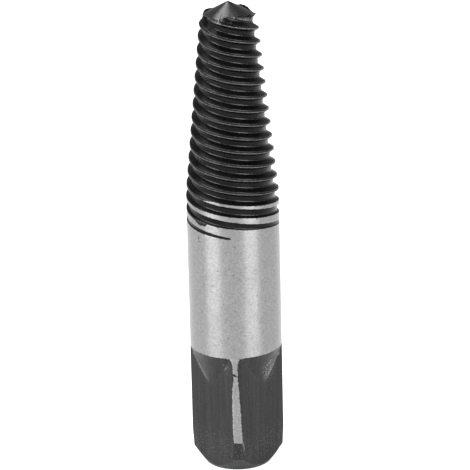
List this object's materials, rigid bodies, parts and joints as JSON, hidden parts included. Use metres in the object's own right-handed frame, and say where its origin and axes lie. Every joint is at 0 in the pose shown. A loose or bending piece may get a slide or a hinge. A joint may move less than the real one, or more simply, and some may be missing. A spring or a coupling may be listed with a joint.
{
  "type": "broken pipe extractor",
  "caption": "Hardened steel extractor with a square drive end, a plain round collar and a coarse tapered left-hand thread ending in a cone, for backing out broken pipe ends.",
  "frame": {"origin": "centre of the small round end face of the square drive end, which the tool stands on", "axes": "+Z along the tool's axis towards its conical point; -Y through one corner of the drive square; +X to the right when that corner faces the viewer"},
  "size_m": [0.0168, 0.0168, 0.0877],
  "materials": {
    "tool_steel": "hardened tool steel: ground collar and crests, darker as-milled flats and thread grooves"
  },
  "bodies": {
    "root": {"extractor": "tool_steel"}
  },
  "joints": []
}
